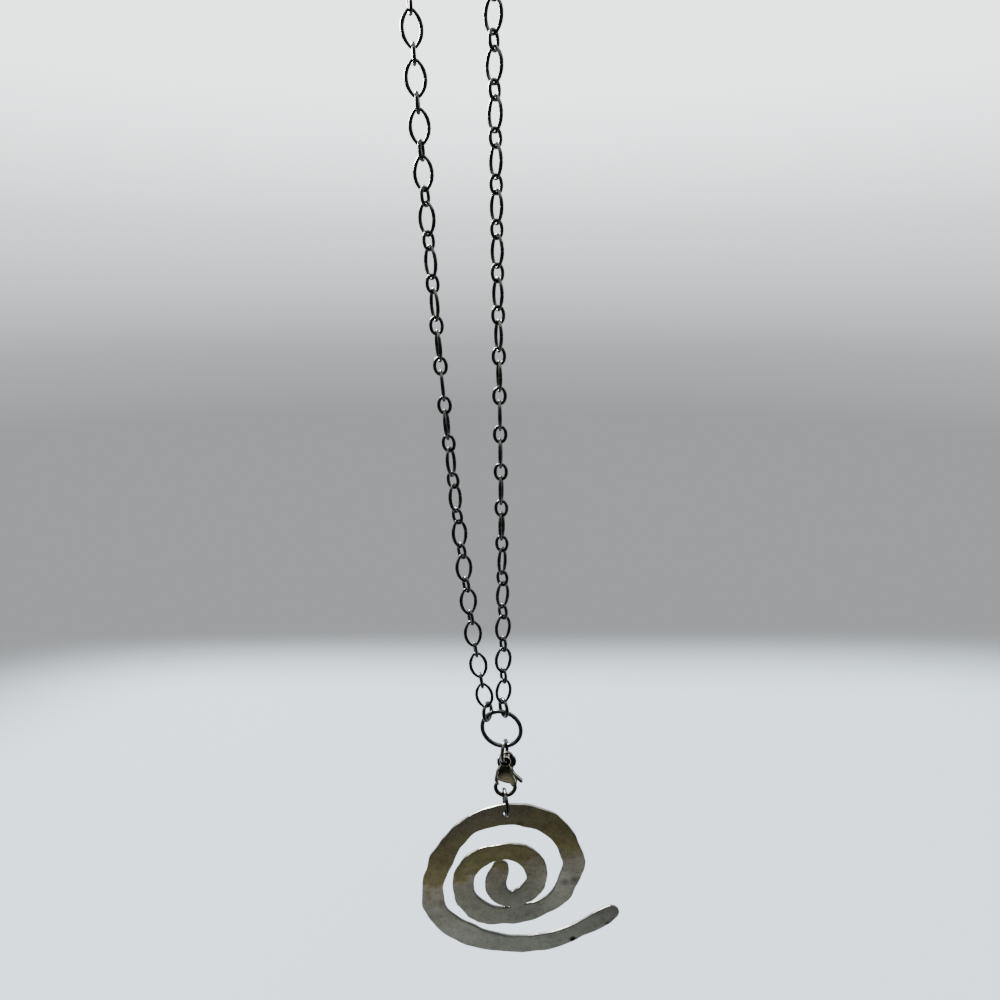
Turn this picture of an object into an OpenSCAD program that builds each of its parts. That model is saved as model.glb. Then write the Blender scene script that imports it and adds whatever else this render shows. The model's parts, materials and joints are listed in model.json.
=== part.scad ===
// Spiral pendant on a long chain.
// A flat hammered spiral hangs by a jump ring from a lobster clasp, the clasp
// hangs by another jump ring from a round ring, and both ends of a long chain
// end on that ring. The necklace is one closed loop, slipped over the head.
//
// Frame: millimetres, +Z up, +X to the right, seen from -Y. The origin is at
// the underside of the top of the chain loop, where it hangs.

/* [Chain] */
// Outer length of a long link
long_len = 7; // [6.95:0.05:7.05]
// Outer width of a long link
long_w = 4.3; // [4.2:0.1:4.4]
// Wire of a long link
long_wire = 0.55; // [0.5:0.05:0.6]
// Outer length of a small link
small_len = 4.2; // [4.15:0.05:4.25]
// Outer width of a small link
small_w = 3.2; // [3.2:0.1:3.4]
// Wire of a small link
small_wire = 0.7; // [0.6:0.05:0.7]
// Free play between two rings that hold each other
play = 0.11; // [0.11:0.01:0.13]
// Drop from the top of the loop to the middle of the lowest long links
loop_drop = 295.5; // [294:0.5:297]
// Radius of the bend at the top of the loop, on the middle of the chain
bend_r = 10.5; // [10:0.5:12]
// Outer diameter of the jump ring at each end of the chain
end_od = 4.9; // [4.8:0.1:5]
// Turn of those jump rings about the vertical
end_turn = 66; // [64:1:70]

/* [Centre ring] */
// Outer diameter of the round ring that both chain ends hang on
ring_od = 10.6; // [10.4:0.1:10.8]
// Wire of the round ring
ring_wire = 0.9; // [0.8:0.05:1]
// Turn of the ring about the vertical
ring_turn = -12; // [-14:1:-10]
// Middle of the ring below the lowest long links
ring_below = 9.85; // [9.7:0.05:10]
// Place of the left chain end round the ring, from the right, counterclockwise
ring_left_at = 129; // [128:1:131]
// Place of the right chain end round the ring
ring_right_at = 84; // [80:1:88]

/* [Clasp ring and tag] */
// Outer diameter of the jump ring between the round ring and the clasp
clasp_ring_od = 5.6; // [5.5:0.1:5.7]
// Wire of that jump ring
clasp_ring_wire = 0.7; // [0.65:0.05:0.75]
// Turn of that jump ring about the vertical
clasp_ring_turn = 15; // [12:1:17]
// Width of the oval tag behind the clasp
tag_w = 4.9; // [4.7:0.1:5.1]
// Height of the tag
tag_h = 6.5; // [6.3:0.1:6.7]
// Thickness of the tag
tag_t = 0.6; // [0.5:0.05:0.6]
// Hole near the top of the tag
tag_hole = 1.6; // [1.55:0.05:1.7]
// Lean of the tag, its lower end away from the clasp
tag_lean = 9; // [8:1:12]

/* [Clasp] */
// Outer diameter of the eye at the top of the clasp
eye_od = 2.8; // [2.7:0.1:3]
// Hole in the eye
eye_hole = 1.6; // [1.6:0.05:1.7]
// Thickness of the eye, front to back
eye_t = 1.4; // [1.2:0.1:1.4]
// Outer radius of the hook's curve
hook_r = 3; // [2.95:0.05:3.05]
// Thickness of the hook
hook_wire = 1.05; // [1:0.05:1.1]
// Middle of the hook's curve below the eye
hook_below = 7.9; // [7.85:0.05:7.95]
// Thickness of the clasp's body, front to back
body_t = 2.3; // [2.1:0.1:2.4]
// Slot in the body, where the lever works
slot_t = 1; // [0.95:0.05:1.1]
// Thickness of the lever
lever_t = 0.8; // [0.7:0.05:0.85]
// Pin that the lever turns on
pin_d = 0.8; // [0.7:0.05:0.9]
// Lean of the clasp as it hangs
clasp_lean = 3.5; // [2:0.5:5]

/* [Pendant ring] */
// Outer diameter of the jump ring that carries the spiral
pendant_ring_od = 7; // [6.8:0.1:7.2]
// Wire of that jump ring
pendant_ring_wire = 0.75; // [0.7:0.05:0.8]
// Turn of that jump ring about the vertical
pendant_ring_turn = -8; // [-12:1:0]

/* [Spiral] */
// Thickness of the hammered strip
spiral_t = 1; // [0.8:0.1:1.2]
// Hole that the pendant ring goes through
spiral_hole = 1.5; // [1.5:0.05:1.7]
// Hole to the right of the spiral's middle
hole_x = 1.6; // [1.4:0.1:1.8]
// Hole above the spiral's middle
hole_z = 21.1; // [21:0.1:21.3]
// Extra width that the last blows of the hammer give the strip
strip_more = 0.2; // [0:0.1:0.3]
// Turn of the whole spiral about its hole, as it hangs
spiral_lean = 0; // [-3:0.5:3]

/* [Hidden] */
$fn = 24;
STEEL = "#4c4a46";

// Long links in the loop, with a small link after each and one more
long_count = 73;
// Radius of the middle line at the ends of the links
long_end_r = 1;
small_end_r = 1.1;

// Height above the lowest long links, then the place to the side and the
// turn about the vertical of the left strand and of the right strand. Seen
// from above the left turn runs clockwise and the right one counterclockwise.
STRANDS = [
    // height, left x, left turn, right x, right turn
    [-8,  -2.9, 184,  0.6, 150],
    [0,   -3.8, 180,  1.0, 152],
    [10,  -5.0, 171,  1.4, 155],
    [20,  -5.8, 157,  1.8, 143],
    [40,  -7.0, 138,  2.5, 105],
    [70,  -8.4,  92,  3.5,  88],
    [100, -9.2,  54,  4.5,  58],
    [120, -9.4,  14,  5.2,  57],
    [145, -9.6, -12,  6.0,  36],
    [290, -bend_r, -45, bend_r, 45]
];
HEIGHT = 0;
LEFT_X = 1;
LEFT_TURN = 2;
RIGHT_X = 3;
RIGHT_TURN = 4;

// The strip of the spiral, from the end of the tail inwards: how far it has
// turned, clockwise from the lower right, the distance of its middle line
// from the spiral's middle, and its width
STRIP = [
    // turned, radius, width
    [-7, 30.9, 4.0], [0, 28.6, 5.1], [15, 25.7, 4.6], [30, 23.5, 5.5], [45, 21.9, 5.1],
    [60, 20.8, 5.4], [75, 20.2, 6.1], [90, 20.0, 6.8], [105, 20.1, 6.4], [120, 20.3, 5.9],
    [135, 19.9, 5.6], [150, 18.9, 5.5], [165, 17.9, 5.9], [180, 17.6, 5.9], [195, 18.4, 5.3],
    [210, 19.2, 5.0], [225, 20.1, 5.0], [240, 20.7, 5.9], [255, 21.4, 6.2], [270, 21.5, 6.4],
    [285, 21.0, 5.8], [300, 20.1, 5.8], [315, 19.2, 6.0], [330, 17.3, 5.3], [345, 16.1, 5.4],
    [360, 14.7, 4.6], [375, 13.2, 4.8], [390, 12.2, 5.4], [405, 11.6, 5.4], [420, 11.4, 5.3],
    [450, 11.9, 6.4], [480, 11.4, 5.9], [510, 10.8, 5.3], [540, 10.2, 5.3], [570, 9.7, 4.8],
    [600, 9.5, 4.7], [630, 9.8, 5.8], [660, 9.4, 5.9], [690, 8.7, 5.5], [720, 7.5, 5.3],
    [735, 6.7, 5.3], [758, 6.2, 5.0], [783, 5.3, 5.2], [811, 3.7, 5.6], [857, 2.2, 5.6],
    [934, 2.8, 5.1], [950, 4.4, 4.7]
];
TURNED = 0;
RADIUS = 1;
WIDTH = 2;
strip_start_angle = 330;

// Path of the loop's middle line, up the left strand and down the right one
top_rise = 1.7;
bend_z = loop_drop + top_rise - bend_r;
path_step = 1;
bend_step = 5;
ring_mid_r = (ring_od - ring_wire) / 2;
end_play = 0.2;
function column(c) = [for (row = STRANDS) [row[HEIGHT], row[c]]];
function end_reach(at) = ((ring_wire + small_wire) / 2 + end_play) / sin(at);
function start_height(at) = ring_mid_r * sin(at) - ring_below - end_reach(at);
function start_back(at) = ring_mid_r * cos(at) * sin(ring_turn);

// Slope of a column at a row, from its neighbours
function slope(rows, i) =
    let (a = max(0, i - 1), b = min(len(rows) - 1, i + 1))
    (rows[b][1] - rows[a][1]) / (rows[b][0] - rows[a][0]);
// Smooth value between the rows of a column
function smooth(rows, h, i = 0) =
    i < len(rows) - 2 && h > rows[i + 1][0] ? smooth(rows, h, i + 1) :
    let (d = rows[i + 1][0] - rows[i][0], t = (h - rows[i][0]) / d)
    rows[i][1] * (1 + 2 * t) * pow(1 - t, 2)
    + slope(rows, i) * d * t * pow(1 - t, 2)
    + rows[i + 1][1] * t * t * (3 - 2 * t)
    - slope(rows, i + 1) * d * t * t * (1 - t);

function strand(c, at) =
    [for (h = [start_height(at) : path_step : bend_z])
        [smooth(column(c), h), h, start_back(at) * (1 - h / bend_z)]];
left_path = strand(LEFT_X, ring_left_at);
right_path = strand(RIGHT_X, ring_right_at);
bend_path = [for (a = [180 : -bend_step : 0]) [bend_r * cos(a), bend_z + bend_r * sin(a), 0]];
path = concat(left_path, bend_path, [for (i = [len(right_path) - 1 : -1 : 0]) right_path[i]]);
path_at = [for (i = 0, s = 0; i < len(path);
    s = s + (i + 1 < len(path) ? norm(path[i + 1] - path[i]) : 0), i = i + 1) s];
path_len = path_at[len(path) - 1];
along_x = [for (i = [0 : len(path) - 1]) [path_at[i], path[i][0]]];
along_z = [for (i = [0 : len(path) - 1]) [path_at[i], path[i][1]]];
along_y = [for (i = [0 : len(path) - 1]) [path_at[i], path[i][2]]];
function on_path(s) = [lookup(s, along_x), lookup(s, along_z), lookup(s, along_y)];

// Links, from the middle of the wire at one end to that at the other. Each
// starts a little before the last one's end, so the whole loop is filled.
link_count = 2 * long_count + 1;
half_count = ceil(link_count / 2);
function is_long(k) = k % 2 == 1;
function is_end(k) = k == 0 || k == link_count - 1;
long_span = long_len - long_wire;
small_span = small_len - small_wire;
end_span = end_od - small_wire;
function link_span(k) = is_end(k) ? end_span : is_long(k) ? long_span : small_span;
all_spans = long_count * long_span + (long_count - 1) * small_span + 2 * end_span;
link_overlap = (all_spans - path_len) / (link_count - 1);
function link_start(k) =
    k == 0 ? 0
    : end_span + floor((k - 1) / 2) * small_span + floor(k / 2) * long_span - k * link_overlap;
function turn_at(s) =
    let (h = on_path(s)[1])
    s < path_len / 2 ? -smooth(column(LEFT_TURN), min(h, bend_z))
    : smooth(column(RIGHT_TURN), min(h, bend_z));
function link_turn(k) =
    is_end(k) ? end_turn
    : turn_at(link_start(k) + link_span(k) / 2) + (is_long(k) ? 0 : 90);

// Heights of what hangs below the chain
ring_z = -loop_drop - ring_below;
clasp_ring_r = (clasp_ring_od - clasp_ring_wire) / 2;
clasp_ring_x = 0.5;
ring_low = sqrt(pow(ring_mid_r, 2) - pow(clasp_ring_x / cos(ring_turn), 2));
clasp_ring_z = ring_z - ring_low + (ring_wire + clasp_ring_wire) / 2 + play - clasp_ring_r;
eye_below = 0.2;
eye_z = clasp_ring_z - clasp_ring_r - eye_below;
hook_mid_r = hook_r - hook_wire / 2;
hook_x = 0.15;
hook_low = hook_below + hook_mid_r;
pendant_ring_r = (pendant_ring_od - pendant_ring_wire) / 2;
pendant_ring_x = clasp_ring_x + hook_x - hook_low * sin(clasp_lean);
pendant_ring_z = eye_z - hook_low * cos(clasp_lean)
    + (hook_wire + pendant_ring_wire) / 2 + play - pendant_ring_r;
hole_at = pendant_ring_z - pendant_ring_r - (spiral_hole - pendant_ring_wire) / 2 + play;

// Place of the tag on the back of the clasp's jump ring
tag_on = 32;
tag_hole_below = 0.15;
tag_rim = 0.5;

// Shape of the clasp, seen from the front, from the middle of its eye
CLASP_OUTLINE = [
    [-0.9, -0.8], [-2.2, -3.2], [-2.4, -4.5], [-1.8, -5.4],
    [1.3, -6.3], [1.8, -7.4], [3.05, -7.4], [3.1, -5.3], [2.4, -3.6], [0.9, -0.8]
];
SLOT_OUTLINE = [
    [-3.6, -3], [-0.9, -2.8], [3.4, -2.5], [3.4, -5.9], [1.5, -5.5], [0.5, -7], [-3.6, -7]
];
LEVER_OUTLINE = [
    [0.9, -3.15], [-1.6, -3.2], [-2.1, -3.6], [-2.55, -5], [-2.6, -6.4], [-1.8, -7.4],
    [-1.4, -7.1], [-1.85, -5.7], [-1.3, -4.7], [0.9, -4.65]
];
TAB_OUTLINE = [[0.9, -3.3], [2.3, -3.6], [4.4, -5.7], [3.8, -6.3], [2.2, -4.6], [0.9, -4.5]];
lens_r = 9;
lens_x = 0.4;
lens_z = -4.8;
pin_x = 0.9;
pin_z = -3.9;
pin_gap = 0.05;
hub_r = 0.75;
gate_r = 4;
hook_tip_at = 158;
hook_root_at = 378;
tab_r = 0.42;
tab_end = [4.1, -6];

// A closed ring of round wire, oval, with its length along Z and its width along X
module oval_link(length, width, wire, end_r) {
    a = (length - wire) / 2;
    b = (width - wire) / 2;
    side_r = (pow(a - end_r, 2) + b * b - end_r * end_r) / (2 * (b - end_r));
    open = atan2(side_r - b, a - end_r);
    rotate([90, -90, 0])
        for (half = [0, 180]) rotate([0, 0, half]) {
            translate([a - end_r, 0, 0])
                rotate_extrude(angle = 2 * open, start = -open)
                    translate([end_r, 0]) circle(d = wire);
            translate([0, b - side_r, 0])
                rotate_extrude(angle = 180 - 2 * open, start = open)
                    translate([side_r, 0]) circle(d = wire);
        }
}

// A closed round ring of round wire that stands in the XZ plane
module round_ring(mid_r, wire) {
    rotate([90, 0, 0]) rotate_extrude() translate([mid_r, 0]) circle(d = wire);
}

// A flat plate of an outline in the XZ plane, with its middle at y = 0
module plate(outline, thickness) {
    rotate([90, 0, 0]) linear_extrude(thickness, center = true) polygon(outline);
}

// Puts a shape drawn from the middle of the clasp's eye where the clasp hangs
module at_eye() {
    translate([clasp_ring_x, 0, eye_z]) rotate([0, clasp_lean, 0]) children();
}

module pin(d, length) { rotate([90, 0, 0]) cylinder(d = d, h = length, center = true); }

module chain_links(first, last) {
    color(STEEL)
        for (k = [first : last]) {
            p = on_path(link_start(k));
            q = on_path(link_start(k) + link_span(k));
            m = (p + q) / 2;
            translate([m[0], m[2], m[1] - loop_drop])
                rotate([0, atan2(q[0] - p[0], q[1] - p[1]), 0])
                    rotate([0, 0, link_turn(k)])
                        if (is_end(k)) round_ring((end_od - small_wire) / 2, small_wire);
                        else if (is_long(k)) oval_link(long_len, long_w, long_wire, long_end_r);
                        else oval_link(small_len, small_w, small_wire, small_end_r);
        }
}
module chain_left() { chain_links(0, half_count - 1); }
module chain_right() { chain_links(half_count, link_count - 1); }

module centre_ring() {
    color(STEEL)
        translate([0, 0, ring_z]) rotate([0, 0, ring_turn]) round_ring(ring_mid_r, ring_wire);
}

module clasp_ring() {
    color("#8a8780")
        translate([clasp_ring_x, 0, clasp_ring_z]) rotate([0, 0, 90 - clasp_ring_turn])
            round_ring(clasp_ring_r, clasp_ring_wire);
}

// An oval plate that hangs on the far side of the clasp's jump ring
module back_tag() {
    out = clasp_ring_r * sin(tag_on);
    up = clasp_ring_z - clasp_ring_r * cos(tag_on) - tag_hole_below;
    end_r = 1.8;
    half_w = tag_w / 2;
    long = tag_h / 2 - end_r;
    side_r = (long * long + half_w * half_w - end_r * end_r) / (2 * (half_w - end_r));
    color("#2f2e2a")
        translate([clasp_ring_x + out * sin(clasp_ring_turn), out * cos(clasp_ring_turn), up])
            rotate([90 + tag_lean, 0, 0])
                difference() {
                    translate([0, tag_hole / 2 + tag_rim - tag_h / 2, 0])
                        linear_extrude(tag_t, center = true)
                            union() {
                                intersection() {
                                    translate([half_w - side_r, 0]) circle(side_r, $fn = 96);
                                    translate([side_r - half_w, 0]) circle(side_r, $fn = 96);
                                    square([tag_w, 2 * long], center = true);
                                }
                                for (y = [-long, long]) translate([0, y]) circle(end_r, $fn = 48);
                            }
                    cylinder(d = tag_hole, h = 3 * tag_t, center = true);
                }
}

// Two domed cheeks round a slot, with the eye above and the hook below
module clasp_body() {
    color(STEEL)
        at_eye()
            difference() {
                union() {
                    difference() {
                        intersection() {
                            plate(CLASP_OUTLINE, body_t);
                            translate([lens_x, lens_r - body_t / 2, lens_z]) sphere(lens_r, $fn = 96);
                            translate([lens_x, body_t / 2 - lens_r, lens_z]) sphere(lens_r, $fn = 96);
                        }
                        plate(SLOT_OUTLINE, slot_t);
                    }
                    translate([pin_x, 0, pin_z]) pin(pin_d, slot_t + 0.4);
                    pin(eye_od, eye_t);
                    translate([hook_x, 0, -hook_below]) rotate([90, 0, 0])
                        rotate_extrude(angle = hook_root_at - hook_tip_at, start = hook_tip_at)
                            translate([hook_mid_r, 0]) circle(d = hook_wire);
                }
                pin(eye_hole, 2 * body_t);
            }
}

// The spring lever: a gate on the left, a hub on the pin and a thumb tab on the right
module clasp_lever() {
    color("#7d7a72")
        at_eye()
            difference() {
                union() {
                    intersection() {
                        plate(LEVER_OUTLINE, lever_t);
                        translate([pin_x, 0, pin_z]) pin(2 * gate_r, lever_t);
                    }
                    plate(TAB_OUTLINE, lever_t);
                    translate([pin_x, 0, pin_z]) pin(2 * hub_r, lever_t);
                    translate([tab_end[0], 0, tab_end[1]]) pin(2 * tab_r, lever_t);
                }
                translate([pin_x, 0, pin_z]) pin(pin_d + 2 * pin_gap, 2 * lever_t);
            }
}

module pendant_ring() {
    color(STEEL)
        translate([pendant_ring_x, 0, pendant_ring_z]) rotate([0, 0, 90 - pendant_ring_turn])
            round_ring(pendant_ring_r, pendant_ring_wire);
}

// Middle line of the strip and its width, smooth from row to row
strip_mid = [for (row = STRIP)
    row[RADIUS] * [cos(strip_start_angle - row[TURNED]), sin(strip_start_angle - row[TURNED])]];
strip_width = [for (row = STRIP) row[WIDTH] + strip_more];
function clamp_index(i) = max(0, min(len(STRIP) - 1, i));
function spline(list, i, t) =
    let (a = list[clamp_index(i - 1)], b = list[i],
        c = list[clamp_index(i + 1)], d = list[clamp_index(i + 2)])
    b + t * (c - a) / 2 + t * t * (2 * a - 5 * b + 4 * c - d) / 2
    + t * t * t * (3 * b - a - 3 * c + d) / 2;
strip_steps = 3;
strip_points = [for (i = [0 : len(STRIP) - 2], k = [0 : strip_steps - 1])
    spline(strip_mid, i, k / strip_steps)];
strip_widths = [for (i = [0 : len(STRIP) - 2], k = [0 : strip_steps - 1])
    spline(strip_width, i, k / strip_steps)];
line_points = concat(strip_points, [strip_mid[len(STRIP) - 1]]);
line_widths = concat(strip_widths, [strip_width[len(STRIP) - 1]]);
line_last = len(line_points) - 1;
function along(i) =
    let (v = line_points[min(line_last, i + 1)] - line_points[max(0, i - 1)]) v / norm(v);
function edge(i, side) =
    let (v = along(i)) line_points[i] + side * line_widths[i] / 2 * [-v[1], v[0]];
// Round ends: points on a half circle across the strip's end
cap_steps = 6;
function cap(i, way) =
    let (v = along(i), n = [-v[1], v[0]])
    [for (k = [1 : cap_steps - 1])
        let (a = 180 * k / cap_steps)
        line_points[i] + line_widths[i] / 2 * way * (cos(a) * n + sin(a) * v)];
strip_outline = concat(
    [for (i = [0 : line_last]) edge(i, 1)],
    cap(line_last, 1),
    [for (i = [line_last : -1 : 0]) edge(i, -1)],
    cap(0, -1)
);

module spiral() {
    color("#8f8c84")
        translate([pendant_ring_x, 0, hole_at]) rotate([0, spiral_lean, 0])
            rotate([90, 0, 0])
                difference() {
                    translate([-hole_x, -hole_z, 0])
                        linear_extrude(spiral_t, center = true) polygon(strip_outline);
                    cylinder(d = spiral_hole, h = 2 * spiral_t, center = true);
                }
}

chain_left();
chain_right();
centre_ring();
clasp_ring();
back_tag();
clasp_body();
clasp_lever();
pendant_ring();
spiral();
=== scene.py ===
# %% [markdown]
# # A hammered spiral on a long chain
# The necklace is a flat spiral of hammered aluminium on a lobster clasp, a round ring and a loop of
# dark steel chain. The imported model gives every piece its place, so this lesson only makes each
# piece finer where it hangs, gives it its finish, and lights it as a small object in a light tent.

# %% The fixed frame
import json
from math import atan2, pi, radians, sin

import bmesh
import bpy
import numpy as np
from mathutils import Matrix, Vector, noise
from mathutils.kdtree import KDTree

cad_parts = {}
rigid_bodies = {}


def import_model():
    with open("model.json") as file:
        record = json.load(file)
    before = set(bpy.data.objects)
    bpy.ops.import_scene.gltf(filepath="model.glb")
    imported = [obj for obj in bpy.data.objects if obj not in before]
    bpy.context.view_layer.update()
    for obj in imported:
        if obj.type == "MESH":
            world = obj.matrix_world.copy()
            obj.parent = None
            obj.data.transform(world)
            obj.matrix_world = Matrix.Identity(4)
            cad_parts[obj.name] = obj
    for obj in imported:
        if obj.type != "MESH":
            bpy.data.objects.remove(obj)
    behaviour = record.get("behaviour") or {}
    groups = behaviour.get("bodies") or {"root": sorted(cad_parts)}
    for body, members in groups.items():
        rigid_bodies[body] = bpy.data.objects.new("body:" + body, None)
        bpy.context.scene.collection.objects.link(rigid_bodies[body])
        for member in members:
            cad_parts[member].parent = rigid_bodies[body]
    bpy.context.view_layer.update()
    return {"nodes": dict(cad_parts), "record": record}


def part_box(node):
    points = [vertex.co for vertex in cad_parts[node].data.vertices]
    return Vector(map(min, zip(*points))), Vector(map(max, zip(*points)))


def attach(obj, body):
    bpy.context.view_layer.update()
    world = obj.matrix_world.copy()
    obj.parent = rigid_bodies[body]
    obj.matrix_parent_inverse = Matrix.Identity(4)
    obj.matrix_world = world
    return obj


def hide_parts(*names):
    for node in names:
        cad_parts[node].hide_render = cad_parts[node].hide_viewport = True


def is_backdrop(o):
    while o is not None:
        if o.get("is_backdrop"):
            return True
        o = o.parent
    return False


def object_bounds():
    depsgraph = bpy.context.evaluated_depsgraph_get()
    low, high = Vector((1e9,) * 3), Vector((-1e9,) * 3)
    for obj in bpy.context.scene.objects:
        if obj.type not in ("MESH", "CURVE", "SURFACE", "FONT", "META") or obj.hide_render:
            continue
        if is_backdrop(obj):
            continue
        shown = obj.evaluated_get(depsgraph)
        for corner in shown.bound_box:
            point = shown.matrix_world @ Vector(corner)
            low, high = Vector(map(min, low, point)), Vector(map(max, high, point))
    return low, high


for leftover in list(bpy.data.objects):
    bpy.data.objects.remove(leftover)
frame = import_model()
body_of = {node: body for body, members in frame["record"]["behaviour"]["bodies"].items()
           for node in members}

# %% [markdown]
# The pieces are a few millimetres across, so they are modelled in millimetres and brought to metres
# when they are finished. Colours are written as the hex values that a picture editor shows, and one
# function turns them into the linear values that the shaders want. Another adds a shader node, and
# takes an input's identifier or number, because some nodes have several inputs of one name.

# %% Millimetres, colours and nodes
MM = 0.001


def linear(hex_colour):
    """An sRGB hex value as linear red, green, blue and alpha."""
    parts = [int(hex_colour[i:i + 2], 16) / 255 for i in (1, 3, 5)]
    return [c / 12.92 if c <= 0.04045 else ((c + 0.055) / 1.055) ** 2.4 for c in parts] + [1.0]


def add(tree, kind, links=None, values=None, stops=(), **settings):
    """A node of that kind, with its settings, fixed values, links and the stops of its ramp."""
    node = tree.nodes.new(kind)
    for name, value in settings.items():
        setattr(node, name, value)
    inputs = dict(enumerate(node.inputs)) | {socket.identifier: socket for socket in node.inputs}
    for name, value in (values or {}).items():
        inputs[name].default_value = value
    for name, socket in (links or {}).items():
        tree.links.new(socket, inputs[name])
    for _ in stops[2:]:  # a new ramp has two stops already
        node.color_ramp.elements.new(0.5)
    for index, (at, colour) in enumerate(stops):
        element = node.color_ramp.elements[index]
        element.position, element.color = at, colour
    return node


print("mid grey, linear", [round(c, 3) for c in linear("#808080")])

# %% [markdown]
# The picture was taken from close by with a wide lens, looking down a little past the chain at the
# spiral. The camera is placed from the round ring, which hangs in the middle of everything.

# %% The camera
LENS_MM, SENSOR_MM = 25.99, 36
PITCH_DOWN = 16.04
ROLL = -2.93
CAMERA_FROM_RING = Vector((2.53, -155.77, 103.51))
ring_low, ring_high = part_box("centre_ring")
ring_centre = (ring_low + ring_high) / 2
camera_data = bpy.data.cameras.new("camera")
camera_data.lens, camera_data.sensor_width = LENS_MM, SENSOR_MM
camera_data.clip_start = 0.01
camera = bpy.data.objects.new("camera", camera_data)
camera.matrix_world = (Matrix.Translation(ring_centre + CAMERA_FROM_RING * MM)
                       @ Matrix.Rotation(radians(90 - PITCH_DOWN), 4, "X")
                       @ Matrix.Rotation(radians(ROLL), 4, "Z"))
bpy.context.scene.collection.objects.link(camera)
bpy.context.scene.camera = camera
print("camera at mm", [round(v / MM, 1) for v in camera.location])

# %% [markdown]
# A light tent is a white cloth box: bright above, greyer low down where less light falls. Here the
# tent is the world itself, a ramp from the floor's grey up to the bright roof, tilted as the camera
# saw it.

# %% The tent
TENT = [
    # degrees above level, brightness
    (-90, 0.40), (-9, 0.40), (-4, 0.56), (0, 0.92), (5, 1.45), (13, 2.9), (30, 3.0), (90, 3.2)
]
TENT_TOP = 3.2
TENT_TINT = (0.94, 0.975, 1.0)
world = bpy.data.worlds.new("light_tent")
world.use_nodes = True
bpy.context.scene.world = world
tree = world.node_tree
tree.nodes.clear()
way = add(tree, "ShaderNodeTexCoord").outputs["Generated"]
tilted = add(tree, "ShaderNodeMapping", {"Vector": way}, {"Rotation": (0, radians(ROLL), 0)})
up = add(tree, "ShaderNodeSeparateXYZ", {"Vector": tilted.outputs["Vector"]}).outputs["Z"]
share = add(tree, "ShaderNodeMapRange", {"Value": up}, {"From Min": -1.0}).outputs["Result"]
tent_colour = add(tree, "ShaderNodeValToRGB", {"Fac": share}, stops=[
    ((1 + sin(radians(angle))) / 2, [level / TENT_TOP * tint for tint in TENT_TINT] + [1])
    for angle, level in TENT]).outputs["Color"]
glow = add(tree, "ShaderNodeBackground", {"Color": tent_colour}, {"Strength": TENT_TOP})
add(tree, "ShaderNodeOutputWorld", {"Surface": glow.outputs["Background"]})
print("tent stops", len(TENT))

# %% [markdown]
# The floor is a sheet of pale paper under the spiral. It fades into the tent at its round edge, and
# behind the spiral along a straight line, where the paper of a light tent curves up. Polished metal
# shows whatever stands before it, and what stood before this necklace was dark, so a dark cloth lies
# in front, paler where it comes near the spiral, and stands up at its far edge. Reflections alone
# see it, as a photographer keeps a black flag out of the picture.

# %% Pieces of the stage
FLOOR_BELOW = 25
spiral_low, spiral_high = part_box("spiral")
floor_z = spiral_low.z / MM - FLOOR_BELOW


def staged(bm, name, material):
    """A mesh in millimetres, made an object of the stage."""
    bmesh.ops.scale(bm, vec=(MM, MM, MM), verts=bm.verts)
    mesh = bpy.data.meshes.new(name)
    bm.to_mesh(mesh)
    bm.free()
    mesh.materials.append(material)
    obj = bpy.data.objects.new(name, mesh)
    bpy.context.scene.collection.objects.link(obj)
    obj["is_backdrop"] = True
    return obj


def new_material(name):
    """An empty material and its node tree."""
    material = bpy.data.materials.new(name)
    material.use_nodes = True
    material.node_tree.nodes.clear()
    return material, material.node_tree


def inward(tree, place, reach):
    """How near a point is to the middle of the floor: one there, none at the reach."""
    size = 1 / (reach * MM)
    centred = add(tree, "ShaderNodeMapping", {"Vector": place},
                  {"Scale": (size, size, size), "Location": (0, 0, -floor_z * MM * size)})
    return add(tree, "ShaderNodeTexGradient", {"Vector": centred.outputs["Vector"]},
               gradient_type="SPHERICAL").outputs["Fac"]


print("floor at mm", round(floor_z, 1))

# %% The floor
# Millimetres from the middle: where the paper starts to fade and where it is gone, round its edge
# and behind, and the way that leads straight back to its curve
FLOOR_FULL, FLOOR_EDGE = 250, 430
CURVE_FROM, CURVE_TO = 168, 247
CURVE_ACROSS = (0.107, 0.994, 0)
# Pale paper: matt and even, so that it takes a soft shade and shows no lamp
paper, tree = new_material("white_paper")
place = add(tree, "ShaderNodeTexCoord").outputs["Object"]
round_edge = add(tree, "ShaderNodeMapRange", {"Value": inward(tree, place, FLOOR_EDGE)},
                 {"From Max": 1 - FLOOR_FULL / FLOOR_EDGE}, interpolation_type="SMOOTHSTEP")
back = add(tree, "ShaderNodeVectorMath", {0: place}, {1: CURVE_ACROSS}, operation="DOT_PRODUCT")
back_edge = add(tree, "ShaderNodeMapRange", {"Value": back.outputs["Value"]},
                {"From Min": CURVE_TO * MM, "From Max": CURVE_FROM * MM},
                interpolation_type="SMOOTHSTEP")
shown = add(tree, "ShaderNodeMath", {0: round_edge.outputs["Result"], 1: back_edge.outputs["Result"]},
            operation="MULTIPLY")
sheet = add(tree, "ShaderNodeBsdfPrincipled", {"Alpha": shown.outputs[0]},
            {"Base Color": linear("#c3cfda"), "Roughness": 0.9})
add(tree, "ShaderNodeOutputMaterial", {"Surface": sheet.outputs["BSDF"]})
bm = bmesh.new()
bmesh.ops.create_circle(bm, cap_ends=True, segments=96, radius=FLOOR_EDGE,
                        matrix=Matrix.Translation((0, 0, floor_z)))
staged(bm, "floor", paper)
print("floor fades from", FLOOR_FULL, "to", FLOOR_EDGE, "mm")

# %% The dark cloth in front
# In millimetres: its radii, its top, how far it clears the floor and the reach of its paler part
CLOTH_NEAR, CLOTH_FAR = 8, 260
CLOTH_TOP = 80
CLOTH_ABOVE = 0.5
CLOTH_PALE = 125
CLOTH_DEGREES = 150
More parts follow.
